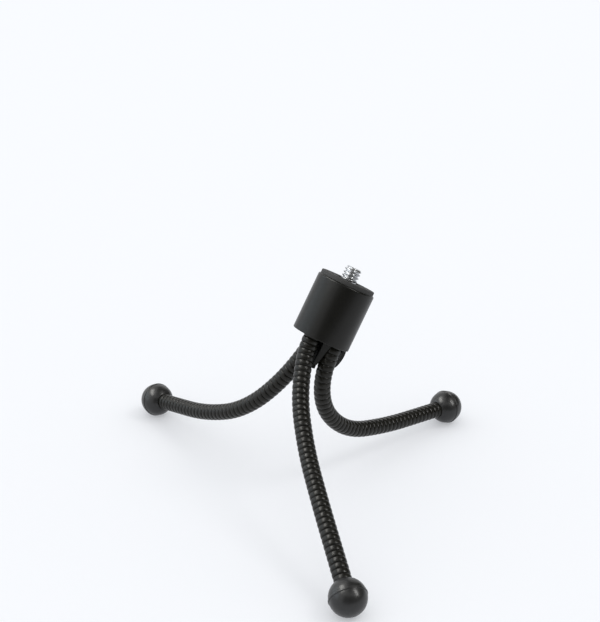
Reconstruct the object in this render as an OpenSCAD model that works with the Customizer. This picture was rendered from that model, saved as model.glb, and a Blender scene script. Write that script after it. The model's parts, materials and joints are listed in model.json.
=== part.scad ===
// Flexible leg tripod: a turning barrel with a camera stud on three bendable ribbed legs with ball feet.
// Each leg is a row of curved sections that hinge on one another, standing for a core that bends anywhere.

/* [Head] */
// Outer diameter of the barrel
barrel_d = 22; // [20:0.5:28]
// Length of the barrel
barrel_h = 22; // [21:0.5:30]
// Wall of the barrel
barrel_wall = 1.5; // [1:0.1:1.8]
// Chamfer round the barrel's top edge
barrel_chamfer = 0.6; // [0.2:0.1:1]
// Depth from the barrel's lower rim to the face of the hub
rim_recess = 0.8; // [0.3:0.1:1.5]
// Thickness of the disc that the barrel turns on
plate_t = 3; // [2.5:0.1:4]
// Thickness of the friction washer
washer_t = 0.6; // [0.4:0.1:1]
// Outer diameter of the friction washer
washer_d = 10; // [8:0.5:14]

/* [Camera stud] */
// Diameter of the camera stud
stud_d = 6.35; // [6.3:0.05:7]
// Length of the stud above the pad
stud_len = 5; // [4:0.1:6]
// Diameter of the plain shank below the stud's thread
shank_d = 5.8; // [5:0.1:6.2]
// Chamfer at the stud's tip
stud_chamfer = 0.7; // [0.3:0.1:1]
// Width across the flats of the stud's hexagon head
bolt_af = 11.1; // [10:0.1:12]
// Height of the stud's hexagon head
bolt_head_h = 4; // [3:0.1:4.5]
// Thickness of the rubber pad
pad_t = 1.5; // [1:0.1:2.5]
// Hole in the pad round the stud
pad_hole_d = 9; // [8:0.1:11]

/* [Hub] */
// Height of the hub inside the barrel
hub_h = 9.8; // [9:0.1:11]
// Radius of the circle that the three leg sockets lie on
socket_circle_r = 5.6; // [5.5:0.05:5.7]
// Depth of the ribbed sleeve in the hub
sleeve_in = 3.6; // [3:0.1:4]
// Diameter of the nose between the legs, at the rim
nose_d = 13; // [11:0.1:14]
// Diameter of the tip of the nose
nose_tip_d = 8; // [6:0.1:9]
// Length of the nose below the rim
nose_h = 9; // [7.5:0.1:9.5]
// Diameter of the boss at the tip of the nose
boss_d = 5.4; // [4.4:0.1:5.4]
// Length of the boss past the tip of the nose
boss_h = 1.8; // [1:0.1:2.2]
// Thread diameter of the pivot screw
pivot_thread_d = 2.5; // [2:0.1:2.8]
// Shoulder diameter of the pivot screw
pivot_d = 3.2; // [3:0.1:4]
// Head diameter of the pivot screw
pivot_head_d = 6; // [5:0.1:8]
// Head height of the pivot screw
pivot_head_h = 1.3; // [1:0.1:1.6]
// Diameter of the cross pins that hold the legs in the hub
pin_d = 1.4; // [1:0.1:1.6]
// Length of a cross pin
pin_len = 11; // [10:0.1:11.4]

/* [Strap lug] */
// Length of the lug below the rim
lug_len = 7.3; // [6:0.1:7.4]
// Width of the lug at the rim
lug_w = 8.4; // [6:0.1:9]
// Width of the lug round its eyelet
lug_tip_w = 4; // [3.4:0.1:4.4]
// Thickness of the lug
lug_t = 1.3; // [1:0.1:1.4]
// Direction of the lug round the barrel's axis
lug_turn = -10; // [-12:1:0]
// Diameter of the eyelet in the lug
eyelet_d = 1.8; // [1.2:0.1:2.2]

/* [Legs] */
// Diameter of a leg over its ribs
leg_d = 6.3; // [5.8:0.1:6.5]
// Length of a leg from the rim to the middle of its foot
leg_len = 102; // [96:1:112]
// Length of the first section, which the hub holds
root_len = 8; // [7:0.5:9]
// Diameter of the core rod
core_d = 3; // [2.6:0.1:3.2]
// Width of the knuckle that joins one core rod to the next
knuckle_w = 2; // [1.6:0.1:2.2]
// Distance between ribs
rib_pitch = 2.2; // [1.9:0.1:3]
// Depth of the grooves between ribs
rib_depth = 0.45; // [0.2:0.05:0.6]
// Gap between the sleeves at a bend
bend_gap = 1.9; // [1.8:0.1:2.4]
// Outer diameter of the ferrule in the hub
ferrule_d = 5; // [4.6:0.1:5.4]
// Length of the ferrule in the hub
ferrule_len = 4.6; // [4:0.1:5]

/* [Feet] */
// Diameter of a ball foot
foot_d = 13; // [11:0.5:15]
// Rise of the parting ridge round a foot
ridge_rise = 0.2; // [0.1:0.05:0.4]
// Width of the parting ridge
ridge_w = 0.6; // [0.4:0.1:1]
// Depth of the ribbed sleeve in the foot
foot_grip = 2.6; // [2:0.1:3]
// Diameter of the cap on the tip of the core
tip_d = 4.6; // [4:0.1:5]
// Wall of the cap past the end of the core
tip_wall = 0.8; // [0.5:0.1:1.2]

/* [Stance] */
// Height of the middle of the barrel's lower rim
head_height = 58.3; // [54:0.1:62]
// Lean of the barrel from upright
lean = 31.3; // [20:0.1:40]
// Direction that the barrel leans in, from +X towards +Y
lean_turn = 34.5; // [0:0.1:60]
// Direction of the front leg's socket round the barrel's axis
socket_turn = -166.6; // [-180:0.1:-150]
// Direction that each leg bends in, round the barrel's axis: front, right, left
bend_turn = [-92.5, 7.5, 87.9]; // [-180:0.1:180]
// Bend of each leg's first section
root_bend = [21.4, 11.4, 16.2]; // [0:0.1:30]
// Bend of each leg's third section
third_bend = [9.7, 39, 27.8]; // [0:0.1:45]
// Bend of each leg's fourth section
fourth_bend = [1.5, 8.7, 13.2]; // [0:0.1:20]

/* [Hidden] */
LEGS = ["front", "right", "left"];
SECTIONS = [1, 2, 3, 4, 5];
$fn = 48;

// Clearances: a press or screwed fit, a running fit, a gap between parts that turn, and a gap round a leg
fit = 0.02;
run = 0.05;
gap = 0.2;
leg_gap = 0.5;
// Overlap of a cutting shape past the face that it cuts
cut = 1;

// The stack inside the barrel, from the rim upwards
barrel_r = barrel_d / 2;
bore_r = barrel_r - barrel_wall;
hub_r = bore_r - gap;
hub_top = rim_recess + hub_h;
washer_z = hub_top + gap;
plate_z = washer_z + washer_t;
bore_depth = plate_z + plate_t;
pad_z = barrel_h;
stud_top = pad_z + pad_t + stud_len;

// Leg sizes; a core's seat reaches this angle round the knuckle from the section's axis
leg_r = leg_d / 2;
core_r = core_d / 2;
groove_r = leg_r - rib_depth;
SIDES = 10;
BORE_RINGS = 6;
SEAT_WRAP = 50;
sleeve_bore_r = (core_r + gap) / cos(180 / SIDES);
section_len = (leg_len - root_len) / 4;
knuckle_r = core_r - run;
seat_r = core_r + run;
seat_start = seat_r * cos(SEAT_WRAP);
ferrule_z = sleeve_in + gap;
core_top = ferrule_z + ferrule_len;
foot_r = foot_d / 2;
ridge_r = foot_r + ridge_rise;
sleeve_end = sqrt(foot_r * foot_r - leg_r * leg_r) - foot_grip;

// A leg's line lies in one plane: distance out, distance down the barrel's axis, and heading from that axis
function straight(b) = abs(b) < 0.01;
function len_of(n) = n == 1 ? root_len : section_len;
function along(s, b) = straight(b) ? s : s * sin(b) / (b * PI / 180);
function across(s, b) = straight(b) ? 0 : s * (1 - cos(b)) / (b * PI / 180);
function step(q, s, b) = [
    q.x + along(s, b) * sin(q.z) + across(s, b) * cos(q.z),
    q.y + along(s, b) * cos(q.z) - across(s, b) * sin(q.z),
    q.z + b
];
function bends_of(k, second) = [root_bend[k], second, third_bend[k], fourth_bend[k], 0];
function start_of(bends, n) =
    n == 1 ? [0, 0, 0] : step(start_of(bends, n - 1), len_of(n - 1), bends[n - 2]);

// Turns from the barrel's frame and from a leg's plane to the upright frame
function spin(p, t) = [p.x * cos(t) - p.y * sin(t), p.x * sin(t) + p.y * cos(t), p.z];
function tilt(p, t) = [p.x * cos(t) + p.z * sin(t), p.y, p.z * cos(t) - p.x * sin(t)];
function head_dir(p) = spin(tilt(p, lean), lean_turn);
function socket_dir(k) = socket_turn + k * 360 / len(LEGS);
function socket_at(k) = spin([socket_circle_r, 0, 0], socket_dir(k));
function leg_dir(k, p) = head_dir(spin(p, bend_turn[k]));
function leg_point(k, p) = head_dir(socket_at(k) + spin(p, bend_turn[k]));

// The second bend is the one that sets each foot down on the ground
function foot_at(k, second) = let (q = start_of(bends_of(k, second), 6)) leg_point(k, [q.x, 0, -q.y]);
function end_dir(k, second) = let (h = start_of(bends_of(k, second), 6).z) leg_dir(k, [sin(h), 0, -cos(h)]);
function foot_drop(d) = max(foot_r, ridge_r * sqrt(1 - d.z * d.z) + ridge_w / 2 * abs(d.z));
function foot_over(k, second) = head_height + foot_at(k, second).z - foot_drop(end_dir(k, second));
function settle(k, low, high, turns) =
    let (middle = (low + high) / 2)
    turns == 0 ? middle
    : foot_over(k, middle) < 0 ? settle(k, middle, high, turns - 1)
    : settle(k, low, middle, turns - 1);
MOST_BEND = 90;
HALVINGS = 40;
leg_bends = [for (k = [0:2]) bends_of(k, settle(k, 0, MOST_BEND, HALVINGS))];

// The barrel stands where the three feet are centred on the origin
feet = [for (k = [0:2]) foot_at(k, leg_bends[k][1])];
feet_x = [for (f = feet) f.x];
feet_y = [for (f = feet) f.y];
head_at = [-(min(feet_x) + max(feet_x)) / 2, -(min(feet_y) + max(feet_y)) / 2, head_height];

// Places for shapes: the barrel's frame, a leg's plane, and a section whose axis runs down from its start
module in_head() {
    translate(head_at) rotate([0, lean, lean_turn]) children();
}

module in_leg(k) {
    translate(socket_at(k)) rotate([0, 0, bend_turn[k]]) children();
}

module in_section(k, n) {
    q = start_of(leg_bends[k], n);
    in_leg(k) translate([q.x, 0, -q.y]) rotate([0, -q.z, 0]) children();
}

// A round rod along a section, from one distance to another
module section_rod(k, n, r, from, to) {
    bend = leg_bends[k][n - 1];
    if (straight(bend)) {
        translate([0, 0, -to]) cylinder(h = to - from, r = r);
    } else {
        swing_r = len_of(n) / (bend * PI / 180);
        translate([swing_r, 0, 0]) rotate([90, 0, 0]) rotate([0, 0, 180 + bend * from / len_of(n)])
            rotate_extrude(angle = bend * (to - from) / len_of(n)) translate([swing_r, 0]) circle(r = r);
    }
}

// Sections 2, 4 and 5 bend in the leg's plane and section 3 swings sideways
function swings(n) = n == 3;

module knuckle(n, r, w) {
    rotate(swings(n) ? [0, 90, 0] : [90, 0, 0]) cylinder(h = w, r = r, center = true);
}

// The pieces of the head; the bolt's hexagon sits in a matching pocket
HEX = 6;
function corner_r(flat_r) = flat_r / cos(180 / HEX);

module barrel() {
    color("dimgray") in_head() difference() {
        union() {
            cylinder(h = barrel_h - barrel_chamfer, r = barrel_r);
            translate([0, 0, barrel_h - barrel_chamfer])
                cylinder(h = barrel_chamfer, r1 = barrel_r, r2 = barrel_r - barrel_chamfer);
        }
        translate([0, 0, -cut]) cylinder(h = bore_depth + cut, r = bore_r);
        cylinder(h = bore_depth + bolt_head_h + fit, r = corner_r(bolt_af / 2 + fit), $fn = HEX);
        cylinder(h = barrel_h + cut, r = stud_d / 2 + fit);
    }
}

module camera_bolt() {
    color("silver") in_head() {
        translate([0, 0, bore_depth]) cylinder(h = bolt_head_h, r = corner_r(bolt_af / 2), $fn = HEX);
        translate([0, 0, bore_depth]) cylinder(h = pad_z + pad_t - bore_depth, r = shank_d / 2);
        translate([0, 0, pad_z + pad_t]) cylinder(h = stud_len - stud_chamfer, r = stud_d / 2);
        translate([0, 0, stud_top - stud_chamfer])
            cylinder(h = stud_chamfer, r1 = stud_d / 2, r2 = stud_d / 2 - stud_chamfer);
    }
}

module top_pad() {
    color("black") in_head() translate([0, 0, pad_z]) difference() {
        cylinder(h = pad_t, r = barrel_r - barrel_chamfer);
        translate([0, 0, -cut]) cylinder(h = pad_t + 2 * cut, r = pad_hole_d / 2);
    }
}

module pivot_plate() {
    color("gray") in_head() translate([0, 0, plate_z]) difference() {
        cylinder(h = plate_t, r = bore_r - fit);
        translate([0, 0, -cut]) cylinder(h = plate_t + 2 * cut, r = pivot_d / 2 + run);
        translate([0, 0, plate_t - pivot_head_h - gap]) cylinder(h = plate_t, r = pivot_head_d / 2 + gap);
    }
}

module friction_washer() {
    color("white") in_head() translate([0, 0, washer_z]) difference() {
        cylinder(h = washer_t, r = washer_d / 2);
        translate([0, 0, -cut]) cylinder(h = washer_t + 2 * cut, r = pivot_d / 2 + gap);
    }
}

// The hub, with its nose and the sockets for the legs
module leg_hub() {
    color("black") in_head() {
        difference() {
            union() {
                translate([0, 0, rim_recess]) cylinder(h = hub_h, r = hub_r);
                translate([0, 0, -nose_h])
                    cylinder(h = nose_h + rim_recess, r1 = nose_tip_d / 2, r2 = nose_d / 2);
            }
            for (k = [0:2]) {
                leg_socket(k);
                pin_place(k) cylinder(h = pin_len + hub_r, r = pin_d / 2 + fit);
            }
            translate([0, 0, rim_recess]) cylinder(h = hub_h + cut, r = pivot_thread_d / 2 + fit);
        }
        translate([0, 0, -nose_h - boss_h]) cylinder(h = boss_h + cut, r = boss_d / 2);
    }
}

// The groove beside the nose is wide enough for the leg to bend out of its socket
module leg_socket(k) {
    bent = start_of(leg_bends[k], 2).x;
    in_leg(k) {
        cylinder(h = sleeve_in + gap, r = leg_r + gap);
        cylinder(h = core_top + gap, r = ferrule_d / 2 + fit);
        translate([bent / 2, 0, -nose_h - cut])
            cylinder(h = nose_h + cut + rim_recess, r = leg_r + bent / 2 + leg_gap);
    }
}

// The strap lug hangs from the hub's face by a neck, flush with the barrel, and curves in towards its tip
LUG_STEPS = 8;
lug_bulge = lug_len / 3;
function lug_curve(r, from, to) = [
    for (i = [0:LUG_STEPS])
        let (z = from + (to - from) * i / LUG_STEPS, rise = z + lug_bulge)
        [sqrt(r * r - rise * rise), z]
];

// The tongue's sides run from its width at the rim to meet the round end smoothly
module lug_tongue(tip_z) {
    tip_r = lug_tip_w / 2;
    turn = atan2(lug_w / 2, -tip_z) + acos(tip_r / norm([lug_w / 2, tip_z]));
    meet = [tip_r * sin(turn), tip_z + tip_r * cos(turn)];
    top = rim_recess + cut;
    translate([0, 0, tip_z]) rotate([0, 90, 0]) cylinder(h = barrel_r, r = tip_r);
    rotate([90, 0, 90]) linear_extrude(height = barrel_r) polygon([
        [0, tip_z], meet, [lug_w / 2, 0], [lug_w / 2, top],
        [-lug_w / 2, top], [-lug_w / 2, 0], [-meet.x, meet.y]
    ]);
}

module strap_lug() {
    lug_r = barrel_r - gap;
    tip_z = lug_tip_w / 2 - lug_len;
    neck_r = hub_r - lug_t;
    neck_z = -gap - lug_t;
    joined_r = lug_r - lug_t / 2;
    color("black") in_head() rotate([0, 0, lug_turn]) difference() {
        union() {
            intersection() {
                rotate_extrude() polygon(concat(
                    lug_curve(lug_r, -gap, -lug_len),
                    lug_curve(lug_r - lug_t, -lug_len, -gap)
                ));
                lug_tongue(tip_z);
            }
            intersection() {
                rotate_extrude() polygon([
                    [neck_r, rim_recess], [hub_r, rim_recess], [hub_r, -gap],
                    [joined_r, -gap], [joined_r, neck_z], [neck_r, neck_z]
                ]);
                translate([0, -lug_tip_w / 2, neck_z - cut])
                    cube([barrel_r, lug_tip_w, rim_recess - neck_z + 2 * cut]);
            }
        }
        translate([0, 0, tip_z]) rotate([0, 90, 0]) cylinder(h = barrel_d, r = eyelet_d / 2);
    }
}

module pivot_screw() {
    color("silver") in_head() {
        translate([0, 0, rim_recess]) cylinder(h = hub_h, r = pivot_thread_d / 2);
        translate([0, 0, hub_top]) cylinder(h = bore_depth - gap / 2 - hub_top, r = pivot_d / 2);
        translate([0, 0, bore_depth - gap / 2 - pivot_head_h])
            cylinder(h = pivot_head_h, r = pivot_head_d / 2);
    }
}

// A cross pin runs through the hub, the ferrule and the core, square to the leg
module pin_place(k) {
    translate([0, 0, ferrule_z + ferrule_len / 2]) rotate([0, 0, socket_dir(k)])
        translate([socket_circle_r, pin_len / 2, 0]) rotate([90, 0, 0]) children();
}

module pin(k) {
    color("silver") in_head() pin_place(k) cylinder(h = pin_len, r = pin_d / 2);
}

module ferrule(k) {
    color("silver") in_head() difference() {
        in_leg(k) translate([0, 0, ferrule_z]) difference() {
            cylinder(h = ferrule_len, r = ferrule_d / 2);
            translate([0, 0, -cut]) cylinder(h = ferrule_len + 2 * cut, r = core_r + fit);
        }
        pin_place(k) cylinder(h = pin_len, r = pin_d / 2 + fit);
    }
}

// The core rods, each with a round knuckle at its lower end and a hollow seat at its upper end
module core(k, n) {
    last = n == len(SECTIONS);
    color("lightgray") in_head() difference() {
        union() {
            in_section(k, n) section_rod(k, n, core_r, n == 1 ? 0 : seat_start, len_of(n));
            if (n == 1) in_leg(k) cylinder(h = core_top, r = core_r);
            if (!last) in_section(k, n + 1) knuckle(n + 1, knuckle_r, knuckle_w);
        }
        if (n == 1) pin_place(k) cylinder(h = pin_len, r = pin_d / 2 + fit);
        if (n > 1) in_section(k, n) knuckle(n, seat_r, leg_d);
    }
}

// The ribbed sleeves: rings along the section, out over the ribs and back along the bore
function from_of(n) = n == 1 ? -sleeve_in : bend_gap / 2;
function to_of(n) = n == len(SECTIONS) ? section_len - sleeve_end : len_of(n) - bend_gap / 2;
function ribs_of(n) = round((to_of(n) - from_of(n)) / rib_pitch);
function rib_rings(n) = [
    for (i = [0:2 * ribs_of(n)])
        [from_of(n) + (to_of(n) - from_of(n)) * i / (2 * ribs_of(n)), i % 2 == 0 ? groove_r : leg_r]
];
function bore_rings(n) = [
    for (i = [BORE_RINGS:-1:0]) [from_of(n) + (to_of(n) - from_of(n)) * i / BORE_RINGS, sleeve_bore_r]
];
function on_line(k, n, s) = s < 0 ? [0, s, 0] : step([0, 0, 0], s, leg_bends[k][n - 1] * s / len_of(n));
function ring(q, r) = [
    for (i = [0:SIDES - 1])
        let (t = 360 * i / SIDES)
        [q.x + r * cos(t) * cos(q.z), r * sin(t), -q.y + r * cos(t) * sin(q.z)]
];

module sleeve(k, n) {
    outline = concat(rib_rings(n), bore_rings(n));
    rings = len(outline);
    color([0.12, 0.12, 0.11]) in_head() in_section(k, n) polyhedron(
        points = [for (o = outline) each ring(on_line(k, n, o.x), o.y)],
        faces = [
            for (i = [0:rings - 1])
                for (j = [0:SIDES - 1])
                    let (
                        a = i * SIDES + j,
                        b = i * SIDES + (j + 1) % SIDES,
                        c = (i + 1) % rings * SIDES + (j + 1) % SIDES,
                        d = (i + 1) % rings * SIDES + j
                    )
                    each [[a, b, c], [a, c, d]]
        ]
    );
}

// The feet, each pushed over a cap on the tip of its core
module in_foot(k) {
    in_section(k, len(SECTIONS)) translate([0, 0, -section_len]) children();
}

module tip_cap(k) {
    color("silver") in_head() in_foot(k) difference() {
        translate([0, 0, -tip_wall]) cylinder(h = sleeve_end - gap + tip_wall, r = tip_d / 2);
        cylinder(h = foot_d, r = core_r + fit);
    }
}

module foot(k) {
    color([0.16, 0.16, 0.16]) in_head() in_foot(k) difference() {
        union() {
            sphere(r = foot_r);
            translate([0, 0, -ridge_w / 2]) cylinder(h = ridge_w, r = ridge_r);
        }
        translate([0, 0, -tip_wall - fit]) cylinder(h = foot_d, r = tip_d / 2 + fit);
        translate([0, 0, sleeve_end - gap]) cylinder(h = foot_d, r = leg_r + gap);
    }
}

barrel();
camera_bolt();
top_pad();
pivot_plate();
friction_washer();
leg_hub();
strap_lug();
pivot_screw();
for (k = [0:2]) {
    pin(k);
    ferrule(k);
    tip_cap(k);
    foot(k);
    for (n = SECTIONS) {
        core(k, n);
        sleeve(k, n);
    }
}
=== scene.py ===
"""Looks of the flexible leg tripod: barrel, pad, stud and lug, curved ribbed legs, and ball feet."""

import json
import math

import bmesh
import bpy
from mathutils import Matrix, Vector


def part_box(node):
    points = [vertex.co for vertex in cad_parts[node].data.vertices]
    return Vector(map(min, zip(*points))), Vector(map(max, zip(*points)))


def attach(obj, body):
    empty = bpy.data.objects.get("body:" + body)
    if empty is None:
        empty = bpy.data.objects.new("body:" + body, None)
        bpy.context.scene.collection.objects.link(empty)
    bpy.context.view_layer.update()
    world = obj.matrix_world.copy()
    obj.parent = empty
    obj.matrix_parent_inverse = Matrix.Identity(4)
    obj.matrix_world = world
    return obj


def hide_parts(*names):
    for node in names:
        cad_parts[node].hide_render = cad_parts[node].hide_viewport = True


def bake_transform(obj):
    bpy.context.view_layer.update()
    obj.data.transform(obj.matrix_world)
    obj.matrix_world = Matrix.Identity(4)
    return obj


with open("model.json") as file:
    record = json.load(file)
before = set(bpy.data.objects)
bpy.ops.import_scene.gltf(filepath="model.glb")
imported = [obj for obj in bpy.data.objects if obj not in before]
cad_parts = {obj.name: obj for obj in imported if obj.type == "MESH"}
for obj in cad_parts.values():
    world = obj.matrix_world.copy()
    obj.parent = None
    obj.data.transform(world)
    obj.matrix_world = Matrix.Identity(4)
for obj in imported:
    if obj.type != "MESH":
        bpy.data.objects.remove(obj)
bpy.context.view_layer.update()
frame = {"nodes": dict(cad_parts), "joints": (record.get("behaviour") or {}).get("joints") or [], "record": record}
MM = 0.001
LEGS = ("front", "right", "left")
JOINTS = {joint["name"]: joint for joint in frame["joints"]}

# Sizes in millimetres, as in the part's source
BARREL_R = 11.0
BARREL_H = 22.0
BORE_R = 9.5
BORE_DEPTH = 14.4
HEX_ACROSS = 11.1
HEX_H = 4.0
STUD_R = 3.175
STUD_TOP = 28.5
STUD_CHAMFER = 0.7
SHANK_R = 2.9
PAD_T = 1.5
PAD_R = 10.4
PAD_HOLE_R = 4.5
LUG_LEN = 7.3
FERRULE_MIDDLE = 6.1
LEG_R = 3.15
RIB_PITCH = 2.2
SLEEVE_BORE_R = 1.95
SLEEVE_TOP = -3.6
ROOT_LEN = 8.0
SECTION_LEN = 23.5
FOOT_R = 6.5
RIDGE_RISE = 0.2
RIDGE_W = 0.6
FOOT_GRIP = 2.6
CAP_HOLE_R = 2.32
CAP_HOLE_FLOOR = -0.82
FIT = 0.02
GAP = 0.2
HEX_R = HEX_ACROSS / 2 / math.cos(math.pi / 6)
PAD_TOP = BARREL_H + PAD_T
SLEEVE_END = math.sqrt(FOOT_R**2 - LEG_R**2) - FOOT_GRIP
SOCKET_R = LEG_R + FIT
SOCKET_FLOOR = SLEEVE_END - GAP

# Sizes in millimetres, and shares, of what the scene adds to the solids
RIM_ROUND = 0.3
TOP_ROUND = 0.6
STUD_HOLE_ROUND = 0.15
MOUTH_ROUND = 0.25
PAD_EDGE_ROUND = 0.3
PAD_HOLE_ROUND = 0.2
RING_RADII = (9.0, 7.6, 6.2)
RING_HALF_W = 0.25
RING_FLOOR_HALF_W = 0.12
RING_DEPTH = 0.22
RING_EDGE_ROUND = 0.06
RING_FLOOR_ROUND = 0.05
HEX_CHAMFER_H = 0.3
HEX_CHAMFER_SHARE = 0.94
SHANK_BARE = 0.4
THREAD_PITCH = 1.27
THREAD_DEPTH = 0.72
THREAD_RUNOUT = 0.7
THREAD_CREST_HALF_SHARE = 0.07
THREAD_FLANK_SHARE = 0.34
LUG_LONGER = 1.0
LUG_FULLER = 0.5
LUG_EDGE_ROUND = 0.22
RIB_DEPTH = 0.36
RIB_POWER = 2.0
RIDGE_EDGE = 0.04
RIDGE_FLAT_SHARE = 0.6
RIDGE_BASE_SHARE = 1.5
LIP_W = 0.15
LIP_EDGE = 0.06
LIP_RISE = 0.02
POLE_R = 0.02

# How finely the meshes are cut
HEAD_SIDES = 96
BOLT_SIDES = 64
HEX_SIDES = 6
FOOT_SIDES = 72
SLEEVE_SIDES = 32
ROUND_STEPS = 5
RING_ROUND_STEPS = 3
THREAD_ROWS = 14
LUG_ROUND_STEPS = 3
FOOT_STEPS = 22
RIB_SHARES = (0.0, 0.03, 0.1, 0.22, 0.36, 0.5, 0.64, 0.78, 0.9, 0.97)

# Angles in degrees from which an edge is sharp, is rounded, or is there at all
SHARP = 40
LUG_SHARP = 50
SLEEVE_SHARP = 70
LUG_ROUNDED_FROM = 35
FLAT_BELOW = 1

# Points this near, in millimetres, are one, and a bend this small, in radians, is straight
SAME_POINT = 0.001
STRAIGHT_BELOW = 1e-4

# The sleeve nodes that each stretch of a leg's sleeve stands for
STRETCH_NODES = ((1,), (2,), (3,), (4, 5))

# Finishes by material slot: grain and patch are in cells per metre, depth is in millimetres
SURFACES = {
    "barrel_plastic": dict(
        dark=(0.0042, 0.0041, 0.0032), light=(0.0058, 0.0057, 0.0046),
        rough=(0.3, 0.4), grain=4200, depth=0.008, specular=0.26,
    ),
    "inner_plastic": dict(
        dark=(0.0055, 0.0054, 0.0045), light=(0.0075, 0.0073, 0.006),
        rough=(0.5, 0.66), grain=3600, depth=0.015, specular=0.22,
    ),
    "washer_nylon": dict(
        dark=(0.68, 0.66, 0.6), light=(0.76, 0.74, 0.69),
        rough=(0.4, 0.5), grain=2600, depth=0.01,
    ),
    "black_rubber": dict(
        dark=(0.012, 0.012, 0.012), light=(0.02, 0.02, 0.0195),
        rough=(0.6, 0.78), grain=5200, depth=0.03,
    ),
    "foot_rubber": dict(
        dark=(0.009, 0.009, 0.0092), light=(0.0125, 0.0125, 0.0128),
        rough=(0.4, 0.52), grain=3800, depth=0.014, specular=0.22, coat=0.5,
    ),
    "core_aluminium": dict(
        dark=(0.66, 0.66, 0.67), light=(0.78, 0.78, 0.79),
        rough=(0.3, 0.5), grain=4200, depth=0.01, metallic=1.0,
    ),
    "ferrule_brass": dict(
        dark=(0.6, 0.44, 0.2), light=(0.72, 0.55, 0.28),
        rough=(0.25, 0.42), grain=3600, depth=0.008, metallic=1.0,
    ),
    "zinc_steel": dict(
        dark=(0.5, 0.51, 0.53), light=(0.64, 0.65, 0.66),
        rough=(0.22, 0.4), grain=4600, depth=0.008, patch=600, metallic=1.0,
    ),
}
PATCH_SPAN = (0.3, 0.7)
FINE_DETAIL = 2.0
COAT_ROUGHNESS = 0.26

# The ribbed sleeve's finish: colours go from the groove to the worn crest
RIB_COLOURS = (
    (0.0, (0.005, 0.0049, 0.0036)),
    (0.6, (0.0066, 0.0063, 0.0046)),
    (1.0, (0.0105, 0.0098, 0.0074)),
)
RIB_WEAR = (0.4, 1.3)
RIB_WEAR_PATCH = 420.0
RIB_ROUGHNESS = (0.16, 0.46)
RIB_SHINE_PATCH = 300.0
RIB_GRAIN = 5200.0
RIB_GRAIN_DEPTH = 0.012
RIB_SPECULAR = 0.24

# The room: places and sizes in metres, angles in degrees
FLOOR_REACH = 6.0
FLOOR_COLOUR = (0.62, 0.633, 0.657)
FLOOR_ROUGHNESS = 0.9
FLOOR_GLOW = 0.333
FLOOR_GLOW_COLOUR = (0.93, 0.95, 0.985)
CARD_FRONT = -1.1
CARD_BACK = 2.2
CARD_LEFT = -0.6
CARD_RIGHT = 1.3
CARD_LOW = 1.0
CARD_HIGH = 1.8
CARD_COLOUR = (0.06, 0.058, 0.04)
CARD_AIM = Vector((0, 0, 0.03))
LEFT_BOX = dict(place=(-0.62, 0.06, 1.03), width=0.9, height=0.36, glow=11.0, colour=(1.0, 0.99, 0.95))
LEFT_PANEL = dict(place=(-1.26, 0.07, 0.45), width=1.5, height=0.7, glow=1.1, colour=(0.87, 0.95, 1.0))
RIGHT_STRIP = dict(
    top=(0.68, -0.12, 0.99), bottom=(0.94, -0.5, 0.56), width=0.16, glow=18.0, colour=(1.0, 0.99, 0.97)
)
WORLD_LIGHT = 0.955
WORLD_SEEN = 1.0
KEY_ENERGY = 0.3
KEY_ANGLE = 20
KEY_COLOUR = (1.0, 0.99, 0.97)
KEY_DIRECTION = Vector((-0.574, 0.011, -0.814))
CAMERA_DOWN = 24.29
CAMERA_CLIP = 0.01
FOCAL_PIXELS = 1350
LONG_SIDE_PIXELS = 622
SENSOR_MM = 36.0
CAMERA_FROM_HEAD_MM = Vector((-7.497, -443.49, 211.2))


# Places

def millimetres(v):
    return Vector(v) / MM


def frame_along(direction, side):
    """A rotation whose z runs along direction and whose x is side, made square to it."""
    z = Vector(direction).normalized()
    x = (Vector(side) - z * Vector(side).dot(z)).normalized()
    return Matrix((x, z.cross(x), z)).transposed()


HEAD_AT = millimetres(JOINTS["pan"]["pos_m"])
HEAD_UP = Vector(JOINTS["pan"]["axis"]).normalized()
HEAD_TURN = frame_along(HEAD_UP, (1, 0, 0))


def on_head(p):
    """The place of a point given from the middle of the barrel's lower rim, with z along the barrel."""
    return HEAD_AT + HEAD_TURN @ p


# Meshes

def add_object(name, mesh, material):
    obj = bpy.data.objects.new(name, mesh)
    bpy.context.scene.collection.objects.link(obj)
    mesh.materials.append(material)
    return obj


def add_mesh(name, points, faces, material, sharp=SHARP, worn=None):
    """A mesh object from points in millimetres, smooth but for its sharp edges."""
    mesh = bpy.data.meshes.new(name)
    mesh.from_pydata([Vector(p) * MM for p in points], [], faces)
    if worn is not None:
        attribute = mesh.attributes.new("worn", "FLOAT", "POINT")
        attribute.data.foreach_set("value", worn)
    mesh.validate()
    mesh.shade_smooth()
    mesh.set_sharp_from_angle(angle=math.radians(sharp))
    return add_object(name, mesh, material)


def filleted(corners, steps=ROUND_STEPS):
    """A closed outline with corners (r, z, fillet) rounded by their own fillet radius."""
    out = []
    count = len(corners)
    for i, (r, z, fillet) in enumerate(corners):
        here = Vector((r, z))
        if fillet == 0:
            out.append(here)
            continue
        back = (Vector(corners[i - 1][:2]) - here).normalized()
        on = (Vector(corners[(i + 1) % count][:2]) - here).normalized()
        half = back.angle(on) / 2
        reach = fillet / math.tan(half)
        centre = here + (back + on).normalized() * fillet / math.sin(half)
        first = here + back * reach - centre
        last = here + on * reach - centre
        turn = -first.angle_signed(last)
        out += [centre + Matrix.Rotation(turn * k / steps, 2) @ first for k in range(steps + 1)]
    return out


def circle(r, z, sides):
    turns = [math.tau * j / sides for j in range(sides)]
    return [Vector((r * math.cos(t), r * math.sin(t), z)) for t in turns]


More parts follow.
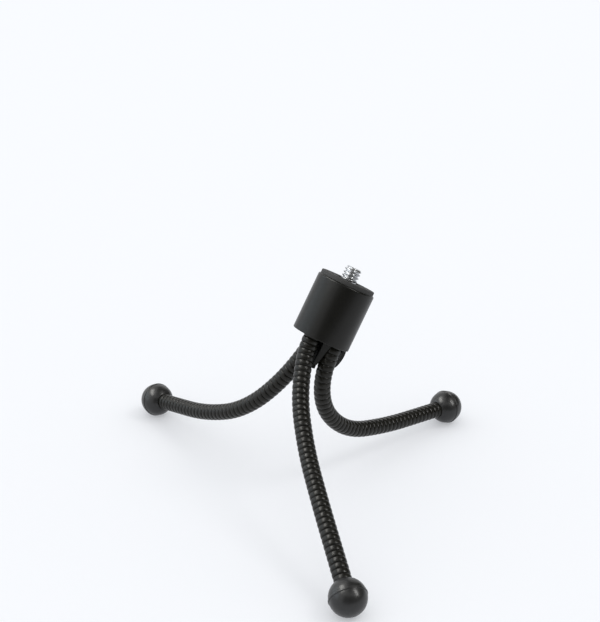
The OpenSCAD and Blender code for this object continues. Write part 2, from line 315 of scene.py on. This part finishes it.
def ring_faces(rings, sides, first=0, closed=False):
    """Faces between rings of points that follow one another from a first point on, or close in a loop."""
    faces = []
    for i in range(rings if closed else rings - 1):
        here, following = first + i * sides, first + (i + 1) % rings * sides
        for j in range(sides):
            k = (j + 1) % sides
            faces.append((here + j, here + k, following + k, following + j))
    return faces


def column_faces(rings, sides, first=0):
    """Faces of a column of rings with a flat cap at either end."""
    top = first + (rings - 1) * sides
    caps = [tuple(range(first + sides - 1, first - 1, -1)), tuple(range(top, top + sides))]
    return ring_faces(rings, sides, first) + caps


def lathe(outline, place, sides):
    """Points and faces of a closed outline (r, z) turned round the z axis, set by place(local point)."""
    points = [place(p) for r, z in outline for p in circle(r, z, sides)]
    return points, ring_faces(len(outline), sides, closed=True)


# Materials

def new_material(name):
    material = bpy.data.materials.new(name)
    material.use_nodes = True
    return material, material.node_tree, material.node_tree.nodes["Principled BSDF"]


def noise(tree, scale, detail=4.0, roughness=0.6):
    """Noise on the object's own coordinates, with scale in cells per metre."""
    place = tree.nodes.new("ShaderNodeTexCoord")
    texture = tree.nodes.new("ShaderNodeTexNoise")
    texture.inputs["Scale"].default_value = scale
    texture.inputs["Detail"].default_value = detail
    texture.inputs["Roughness"].default_value = roughness
    tree.links.new(place.outputs["Object"], texture.inputs["Vector"])
    return texture.outputs["Fac"]


def ramp(tree, value, stops):
    """A colour ramp from (place, colour) stops."""
    node = tree.nodes.new("ShaderNodeValToRGB")
    elements = node.color_ramp.elements
    while len(elements) < len(stops):
        elements.new(0.5)
    for element, (at, colour) in zip(elements, stops):
        element.position = at
        element.color = (*colour, 1)
    tree.links.new(value, node.inputs["Fac"])
    return node.outputs["Color"]


def remap(tree, value, low, high):
    node = tree.nodes.new("ShaderNodeMapRange")
    node.inputs["To Min"].default_value = low
    node.inputs["To Max"].default_value = high
    tree.links.new(value, node.inputs["Value"])
    return node.outputs["Result"]


def bump(tree, shader, value, depth):
    node = tree.nodes.new("ShaderNodeBump")
    node.inputs["Strength"].default_value = 1.0
    node.inputs["Distance"].default_value = depth * MM
    tree.links.new(value, node.inputs["Height"])
    tree.links.new(node.outputs["Normal"], shader.inputs["Normal"])


def grained(name, dark, light, rough, grain, depth, patch=250.0, specular=0.5, metallic=0.0, coat=0.0):
    """A moulded or rolled surface: slow patches of colour, fine grain in roughness and bump, and a coat."""
    material, tree, shader = new_material(name)
    colours = ramp(tree, noise(tree, patch), list(zip(PATCH_SPAN, (dark, light))))
    fine = noise(tree, grain, FINE_DETAIL)
    tree.links.new(colours, shader.inputs["Base Color"])
    tree.links.new(remap(tree, fine, *rough), shader.inputs["Roughness"])
    bump(tree, shader, fine, depth)
    shader.inputs["Specular IOR Level"].default_value = specular
    shader.inputs["Metallic"].default_value = metallic
    shader.inputs["Coat Weight"].default_value = coat
    shader.inputs["Coat Roughness"].default_value = COAT_ROUGHNESS
    return material


def ribbed_plastic(name):
    """Black ribs with a soft shine that comes and goes, rubbed a little lighter along their crests."""
    material, tree, shader = new_material(name)
    worn = tree.nodes.new("ShaderNodeAttribute")
    worn.attribute_name = "worn"
    mixed = tree.nodes.new("ShaderNodeMath")
    mixed.operation = "MULTIPLY"
    tree.links.new(worn.outputs["Fac"], mixed.inputs[0])
    tree.links.new(remap(tree, noise(tree, RIB_WEAR_PATCH), *RIB_WEAR), mixed.inputs[1])
    tree.links.new(ramp(tree, mixed.outputs["Value"], RIB_COLOURS), shader.inputs["Base Color"])
    tree.links.new(remap(tree, noise(tree, RIB_SHINE_PATCH), *RIB_ROUGHNESS), shader.inputs["Roughness"])
    bump(tree, shader, noise(tree, RIB_GRAIN, FINE_DETAIL), RIB_GRAIN_DEPTH)
    shader.inputs["Specular IOR Level"].default_value = RIB_SPECULAR
    return material


MATERIALS = {slot: grained(slot, **look) for slot, look in SURFACES.items()}
MATERIALS["sleeve_plastic"] = ribbed_plastic("sleeve_plastic")

for row in frame["record"]["subparts"]:
    node = frame["nodes"][row["node"]]
    node.data.materials.clear()
    node.data.materials.append(MATERIALS[row["material_slot"]])


def finish_piece(obj, slot, *nodes):
    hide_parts(*nodes)


# The head

def make_barrel():
    """The barrel with its edges rounded, bored for the hub, the bolt's head and the stud."""
    hole_r = STUD_R + FIT
    seat = BORE_DEPTH + HEX_H + FIT
    outline = filleted([
        (BARREL_R, 0, RIM_ROUND), (BARREL_R, BARREL_H, TOP_ROUND), (hole_r, BARREL_H, STUD_HOLE_ROUND),
        (hole_r, seat, 0), (HEX_R + FIT, seat, 0),
        (HEX_R + FIT, BORE_DEPTH, 0), (BORE_R, BORE_DEPTH, 0), (BORE_R, 0, MOUTH_ROUND),
    ])
    obj = add_mesh("barrel_shell", *lathe(outline, on_head, HEAD_SIDES), MATERIALS["barrel_plastic"])
    finish_piece(obj, "barrel_plastic", "barrel")
    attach(obj, "head")


def make_pad():
    """The rubber pad, with three shallow rings pressed into its face."""
    floor = PAD_TOP - RING_DEPTH
    corners = [(PAD_HOLE_R, BARREL_H, 0), (PAD_R, BARREL_H, 0), (PAD_R, PAD_TOP, PAD_EDGE_ROUND)]
    for r in RING_RADII:
        corners += [
            (r + RING_HALF_W, PAD_TOP, RING_EDGE_ROUND), (r + RING_FLOOR_HALF_W, floor, RING_FLOOR_ROUND),
            (r - RING_FLOOR_HALF_W, floor, RING_FLOOR_ROUND), (r - RING_HALF_W, PAD_TOP, RING_EDGE_ROUND),
        ]
    corners.append((PAD_HOLE_R, PAD_TOP, PAD_HOLE_ROUND))
    outline = filleted(corners, RING_ROUND_STEPS)
    obj = add_mesh("pad_rubber", *lathe(outline, on_head, HEAD_SIDES), MATERIALS["black_rubber"])
    finish_piece(obj, "black_rubber", "top_pad")
    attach(obj, "head")


def thread_r(turn):
    """Radius of the thread at a share of its pitch: root, flank, crest, flank."""
    fall = (abs(turn % 1.0 - 0.5) - THREAD_CREST_HALF_SHARE) / THREAD_FLANK_SHARE
    return STUD_R - THREAD_DEPTH * min(max(fall, 0), 1)


def bolt_r(z, share):
    """Radius of the bolt at a height and a share of a turn, with a thread that runs out at either end."""
    above = z - PAD_TOP
    thread = min(thread_r(above / THREAD_PITCH - share), STUD_R - max(z - STUD_TOP + STUD_CHAMFER, 0))
    return SHANK_R + (thread - SHANK_R) * min(max(above / THREAD_RUNOUT, 0), 1)


def make_bolt():
    """The camera bolt: hexagon head, plain shank and threaded stud."""
    reach = STUD_TOP - PAD_TOP
    rows = int(reach / THREAD_PITCH * THREAD_ROWS)
    levels = [BORE_DEPTH + HEX_H, PAD_TOP - SHANK_BARE]
    levels += [PAD_TOP + reach * i / rows for i in range(rows + 1)]
    points = []
    for z in levels:
        for j, way in enumerate(circle(1, 0, BOLT_SIDES)):
            points.append(on_head(way * bolt_r(z, j / BOLT_SIDES) + Vector((0, 0, z))))
    faces = column_faces(len(levels), BOLT_SIDES)
    head = [
        (HEX_R * HEX_CHAMFER_SHARE, BORE_DEPTH),
        (HEX_R, BORE_DEPTH + HEX_CHAMFER_H),
        (HEX_R, BORE_DEPTH + HEX_H),
    ]
    faces += column_faces(len(head), HEX_SIDES, len(points))
    points += [on_head(p) for r, z in head for p in circle(r, z, HEX_SIDES)]
    obj = add_mesh("camera_bolt_threaded", points, faces, MATERIALS["zinc_steel"])
    finish_piece(obj, "zinc_steel", "camera_bolt")
    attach(obj, "head")


def make_lug():
    """The strap lug as it is moulded: the solid with rounded edges and a slightly longer, fuller end."""
    node = frame["nodes"]["strap_lug"]
    shape = bmesh.new()
    shape.from_mesh(node.data)
    shape.transform(node.matrix_world)
    bmesh.ops.remove_doubles(shape, verts=shape.verts, dist=SAME_POINT * MM)
    flat = math.radians(FLAT_BELOW)
    bmesh.ops.dissolve_limit(shape, angle_limit=flat, verts=shape.verts, edges=shape.edges)
    for vertex in shape.verts:
        local = HEAD_TURN.transposed() @ (millimetres(vertex.co) - HEAD_AT)
        share = min(max(-local.z / LUG_LEN, 0), 1)
        out = Vector((local.x, local.y, 0)).normalized()
        vertex.co = on_head(local + (out * LUG_FULLER - Vector((0, 0, LUG_LONGER))) * share) * MM
    rounded_from = math.radians(LUG_ROUNDED_FROM)
    bmesh.ops.bevel(
        shape, geom=[e for e in shape.edges if e.is_manifold and e.calc_face_angle() > rounded_from],
        offset=LUG_EDGE_ROUND * MM, segments=LUG_ROUND_STEPS, profile=0.5, affect="EDGES", clamp_overlap=True,
    )
    shape.verts.index_update()
    points = [millimetres(vertex.co) for vertex in shape.verts]
    faces = [[vertex.index for vertex in face.verts] for face in shape.faces]
    shape.free()
    obj = add_mesh("strap_lug_moulded", points, faces, MATERIALS["inner_plastic"], LUG_SHARP)
    finish_piece(obj, "inner_plastic", "strap_lug")
    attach(obj, "base")


# The legs

class Arc:
    """A round stretch of a leg's line, from a point and heading to an end point."""

    def __init__(self, start, heading, end, length):
        chord = end - start
        self.start = start
        self.heading = heading.normalized()
        self.length = length
        self.bend = 2 * self.heading.angle(chord, 0)
        self.straight = self.bend < STRAIGHT_BELOW
        side = chord - self.heading * chord.dot(self.heading)
        self.side = Vector((0, 0, 0)) if self.straight else side.normalized()
        self.end_heading = self.at(length)[1]

    def at(self, s):
        """Point and heading at a distance along the arc. Outside it the line goes on straight."""
        inside = min(max(s, 0), self.length)
        turn = self.bend * inside / self.length
        heading = self.heading * math.cos(turn) + self.side * math.sin(turn)
        if self.straight:
            point = self.start + self.heading * inside
        else:
            radius = self.length / self.bend
            ahead, aside = radius * math.sin(turn), radius * (1 - math.cos(turn))
            point = self.start + self.heading * ahead + self.side * aside
        return point + heading * (s - inside), heading


class Leg:
    """The line of a leg from the barrel's rim to the middle of its foot, as the frame's joints give it."""

    joint_names = ("spread", "swing", "knee", "ankle")

    def __init__(self, name):
        self.name = name
        low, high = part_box(f"{name}_ferrule")
        start = millimetres((low + high) / 2) - HEAD_UP * FERRULE_MIDDLE
        self.joints = [JOINTS[f"{name}_{joint}"] for joint in self.joint_names]
        self.pivots = [millimetres(joint["pos_m"]) for joint in self.joints]
        self.normal = Vector(self.joints[0]["axis"]).normalized()
        self.arcs = []
        self.starts = []
        heading = -HEAD_UP
        along = 0.0
        for i, end in enumerate(self.pivots):
            length = ROOT_LEN if i == 0 else SECTION_LEN
            self.arcs.append(Arc(start, heading, end, length))
            self.starts.append(along)
            start, heading, along = end, self.arcs[-1].end_heading, along + length
        self.arcs.append(Arc(start, heading, start + heading * SECTION_LEN, SECTION_LEN))
        self.starts.append(along)
        self.length = along + SECTION_LEN

    def at(self, s):
        """Point and heading at a distance from the rim along the leg."""
        i = max([k for k, along in enumerate(self.starts) if along <= s], default=0)
        return self.arcs[i].at(s - self.starts[i])

    def ring(self, s, r, sides):
        """A ring of points round the leg's line."""
        point, heading = self.at(s)
        side = heading.cross(self.normal)
        return [point + self.normal * p.x + side * p.y for p in circle(r, 0, sides)]


def rib_rise(share):
    """Height of a rib's rounded back at a share of its pitch, from 0 in the groove to 1 at the crest."""
    return (1 - abs(2 * share - 1) ** RIB_POWER) ** (1 / RIB_POWER)


def stretch_rings(pitch, first, last):
    """Rings (distance, radius, rise) of a stretch of sleeve: out over its ribs, and back along its bore."""
    rings = []
    for rib in range(first, last):
        for share in RIB_SHARES:
            rise = rib_rise(share)
            rings.append((SLEEVE_TOP + pitch * (rib + share), LEG_R - RIB_DEPTH * (1 - rise), rise))
    rings.append((SLEEVE_TOP + pitch * last, LEG_R - RIB_DEPTH, 0.0))
    rings += [(SLEEVE_TOP + pitch * rib, SLEEVE_BORE_R, 0.0) for rib in range(last, first - 1, -1)]
    return rings


def make_sleeve(leg):
    """The ribbed sleeve in four stretches, each laid round one joint, that meet in a groove."""
    reach = leg.length - SLEEVE_END - SLEEVE_TOP
    ribs = round(reach / RIB_PITCH)
    pitch = reach / ribs
    middles = [ROOT_LEN + SECTION_LEN * (i + 0.5) for i in range(len(leg.joints) - 1)]
    cuts = [0] + [round((middle - SLEEVE_TOP) / pitch) for middle in middles] + [ribs]
    for i, joint in enumerate(leg.joints):
        rings = stretch_rings(pitch, cuts[i], cuts[i + 1])
        points = [p for s, r, rise in rings for p in leg.ring(s, r, SLEEVE_SIDES)]
        worn = [rise for s, r, rise in rings for j in range(SLEEVE_SIDES)]
        faces = ring_faces(len(rings), SLEEVE_SIDES, closed=True)
        name = f"{leg.name}_ribbed_sleeve_{i + 1}"
        obj = add_mesh(name, points, faces, MATERIALS["sleeve_plastic"], SLEEVE_SHARP, worn)
        finish_piece(obj, "sleeve_plastic", *[f"{leg.name}_sleeve_{n}" for n in STRETCH_NODES[i]])
        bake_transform(obj)


def ball_arc(start, end):
    """Points (r, z) on a foot's ball between two angles from the pole at the leg."""
    turns = [start + (end - start) * i / FOOT_STEPS for i in range(FOOT_STEPS + 1)]
    return [(FOOT_R * math.sin(t), FOOT_R * math.cos(t)) for t in turns]


def make_foot(leg):
    """A moulded rubber ball with a parting ridge and a rounded lip round the leg."""
    centre, heading = leg.at(leg.length)
    turn = frame_along(-heading, leg.normal)
    half = RIDGE_W / 2
    flat = half * RIDGE_FLAT_SHARE
    ridge_r = FOOT_R + RIDGE_RISE
    edge_r = ridge_r - RIDGE_EDGE
    ridge_at = math.acos(half * RIDGE_BASE_SHARE / FOOT_R)
    lip_at = math.asin((SOCKET_R + LIP_W) / FOOT_R)
    lip_z = FOOT_R * math.cos(lip_at)
    outline = [(POLE_R, -FOOT_R), *ball_arc(math.pi, math.pi - ridge_at)[1:]]
    outline += [(edge_r, -half), (ridge_r, -flat), (ridge_r, flat), (edge_r, half)]
    outline += ball_arc(ridge_at, lip_at)
    outline += [(SOCKET_R + LIP_EDGE, lip_z + LIP_RISE), (SOCKET_R, lip_z - LIP_EDGE)]
    outline += [(SOCKET_R, SOCKET_FLOOR), (CAP_HOLE_R, SOCKET_FLOOR)]
    outline += [(CAP_HOLE_R, CAP_HOLE_FLOOR), (POLE_R, CAP_HOLE_FLOOR)]
    ball = lathe(outline, lambda p: centre + turn @ p, FOOT_SIDES)
    obj = add_mesh(f"{leg.name}_ball_foot", *ball, MATERIALS["foot_rubber"])
    finish_piece(obj, "foot_rubber", f"{leg.name}_foot")
    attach(obj, f"{leg.name}_end")


# The room

def add_sheet(name, corners, colour, roughness=1.0, glow=0.0, glow_colour=None):
    """A flat stage piece with four corners in metres. It glows in its own colour unless another is given."""
    mesh = bpy.data.meshes.new(name)
    mesh.from_pydata(corners, [], [(0, 1, 2, 3)])
    material, tree, shader = new_material(name)
    shader.inputs["Base Color"].default_value = (*colour, 1)
    shader.inputs["Roughness"].default_value = roughness
    shader.inputs["Specular IOR Level"].default_value = 0.0
    shader.inputs["Emission Color"].default_value = (*(glow_colour or colour), 1)
    shader.inputs["Emission Strength"].default_value = glow
    sheet = add_object(name, mesh, material)
    return sheet


def make_floor():
    r = FLOOR_REACH
    corners = [(-r, -r, 0), (r, -r, 0), (r, r, 0), (-r, r, 0)]
    add_sheet("floor", corners, FLOOR_COLOUR, FLOOR_ROUGHNESS, FLOOR_GLOW, FLOOR_GLOW_COLOUR)


def add_card(name, corners, glow=0.0, colour=CARD_COLOUR):
    """A card that only reflections show: dark, or a glowing panel."""
    card = add_sheet(name, corners, colour, glow=glow)
    card.visible_camera = False
    card.visible_diffuse = False
    card.visible_shadow = False


def add_panel(name, place, width, height, glow, colour):
    """A glowing card that faces the middle of the part."""
    place = Vector(place)
    turn = frame_along(CARD_AIM - place, Vector((0, 0, 1)).cross(CARD_AIM - place))
    x, y = turn.col[0] * width / 2, turn.col[1] * height / 2
    add_card(name, [place - x - y, place + x - y, place + x + y, place - x + y], glow, colour)


def add_strip(name, top, bottom, width, glow, colour):
    """A glowing card along a line, that faces the middle of the part."""
    top, bottom = Vector(top), Vector(bottom)
    side = (top - bottom).cross(CARD_AIM - top).normalized() * width / 2
    add_card(name, [bottom - side, bottom + side, top + side, top - side], glow, colour)


def make_cards():
    """The room as the blacks mirror it: dark in front, on the right and overhead, lit at the sides."""
    front, back, left, right, low, high = CARD_FRONT, CARD_BACK, CARD_LEFT, CARD_RIGHT, CARD_LOW, CARD_HIGH
    add_card("front_card", [(left, front, 0), (right, front, 0), (right, front, low), (left, front, low)])
    add_card("right_card", [(right, front, 0), (right, back, 0), (right, back, high), (right, front, high)])
    add_card("top_card", [(0, front, high), (right, front, high), (right, back, high), (0, back, high)])
    add_panel("left_box", **LEFT_BOX)
    add_panel("left_panel", **LEFT_PANEL)
    add_strip("right_strip", **RIGHT_STRIP)


def make_world():
    """White all round, at full strength where it shows or is reflected."""
    world = bpy.data.worlds.new("studio")
    world.use_nodes = True
    tree = world.node_tree
    back = tree.nodes["Background"]
    back.inputs["Color"].default_value = (1, 1, 1, 1)
    path = tree.nodes.new("ShaderNodeLightPath")
    seen = path.outputs["Is Camera Ray"]
    for other in ("Is Glossy Ray", "Is Transmission Ray"):
        either = tree.nodes.new("ShaderNodeMath")
        either.operation = "MAXIMUM"
        tree.links.new(seen, either.inputs[0])
        tree.links.new(path.outputs[other], either.inputs[1])
        seen = either.outputs["Value"]
    tree.links.new(remap(tree, seen, WORLD_LIGHT, WORLD_SEEN), back.inputs["Strength"])
    bpy.context.scene.world = world


def make_key():
    """The key light, high on the right."""
    data = bpy.data.lights.new("key", "SUN")
    data.energy = KEY_ENERGY
    data.angle = math.radians(KEY_ANGLE)
    data.color = KEY_COLOUR
    light = bpy.data.objects.new("key", data)
    light.rotation_euler = KEY_DIRECTION.to_track_quat("-Z", "Y").to_euler()
    bpy.context.scene.collection.objects.link(light)


def make_camera():
    """The photograph's viewpoint, in front of the part and above it."""
    data = bpy.data.cameras.new("camera")
    data.sensor_width = SENSOR_MM
    data.lens = FOCAL_PIXELS * SENSOR_MM / LONG_SIDE_PIXELS
    data.clip_start = CAMERA_CLIP
    camera = bpy.data.objects.new("camera", data)
    camera.location = (HEAD_AT + CAMERA_FROM_HEAD_MM) * MM
    camera.rotation_euler = (math.radians(90 - CAMERA_DOWN), 0, 0)
    bpy.context.scene.collection.objects.link(camera)
    bpy.context.scene.camera = camera


make_barrel()
make_pad()
make_bolt()
make_lug()
for leg_name in LEGS:
    one_leg = Leg(leg_name)
    make_sleeve(one_leg)
    make_foot(one_leg)

make_floor()
make_cards()
make_world()
make_key()
make_camera()
bpy.context.scene.view_settings.view_transform = "Standard"
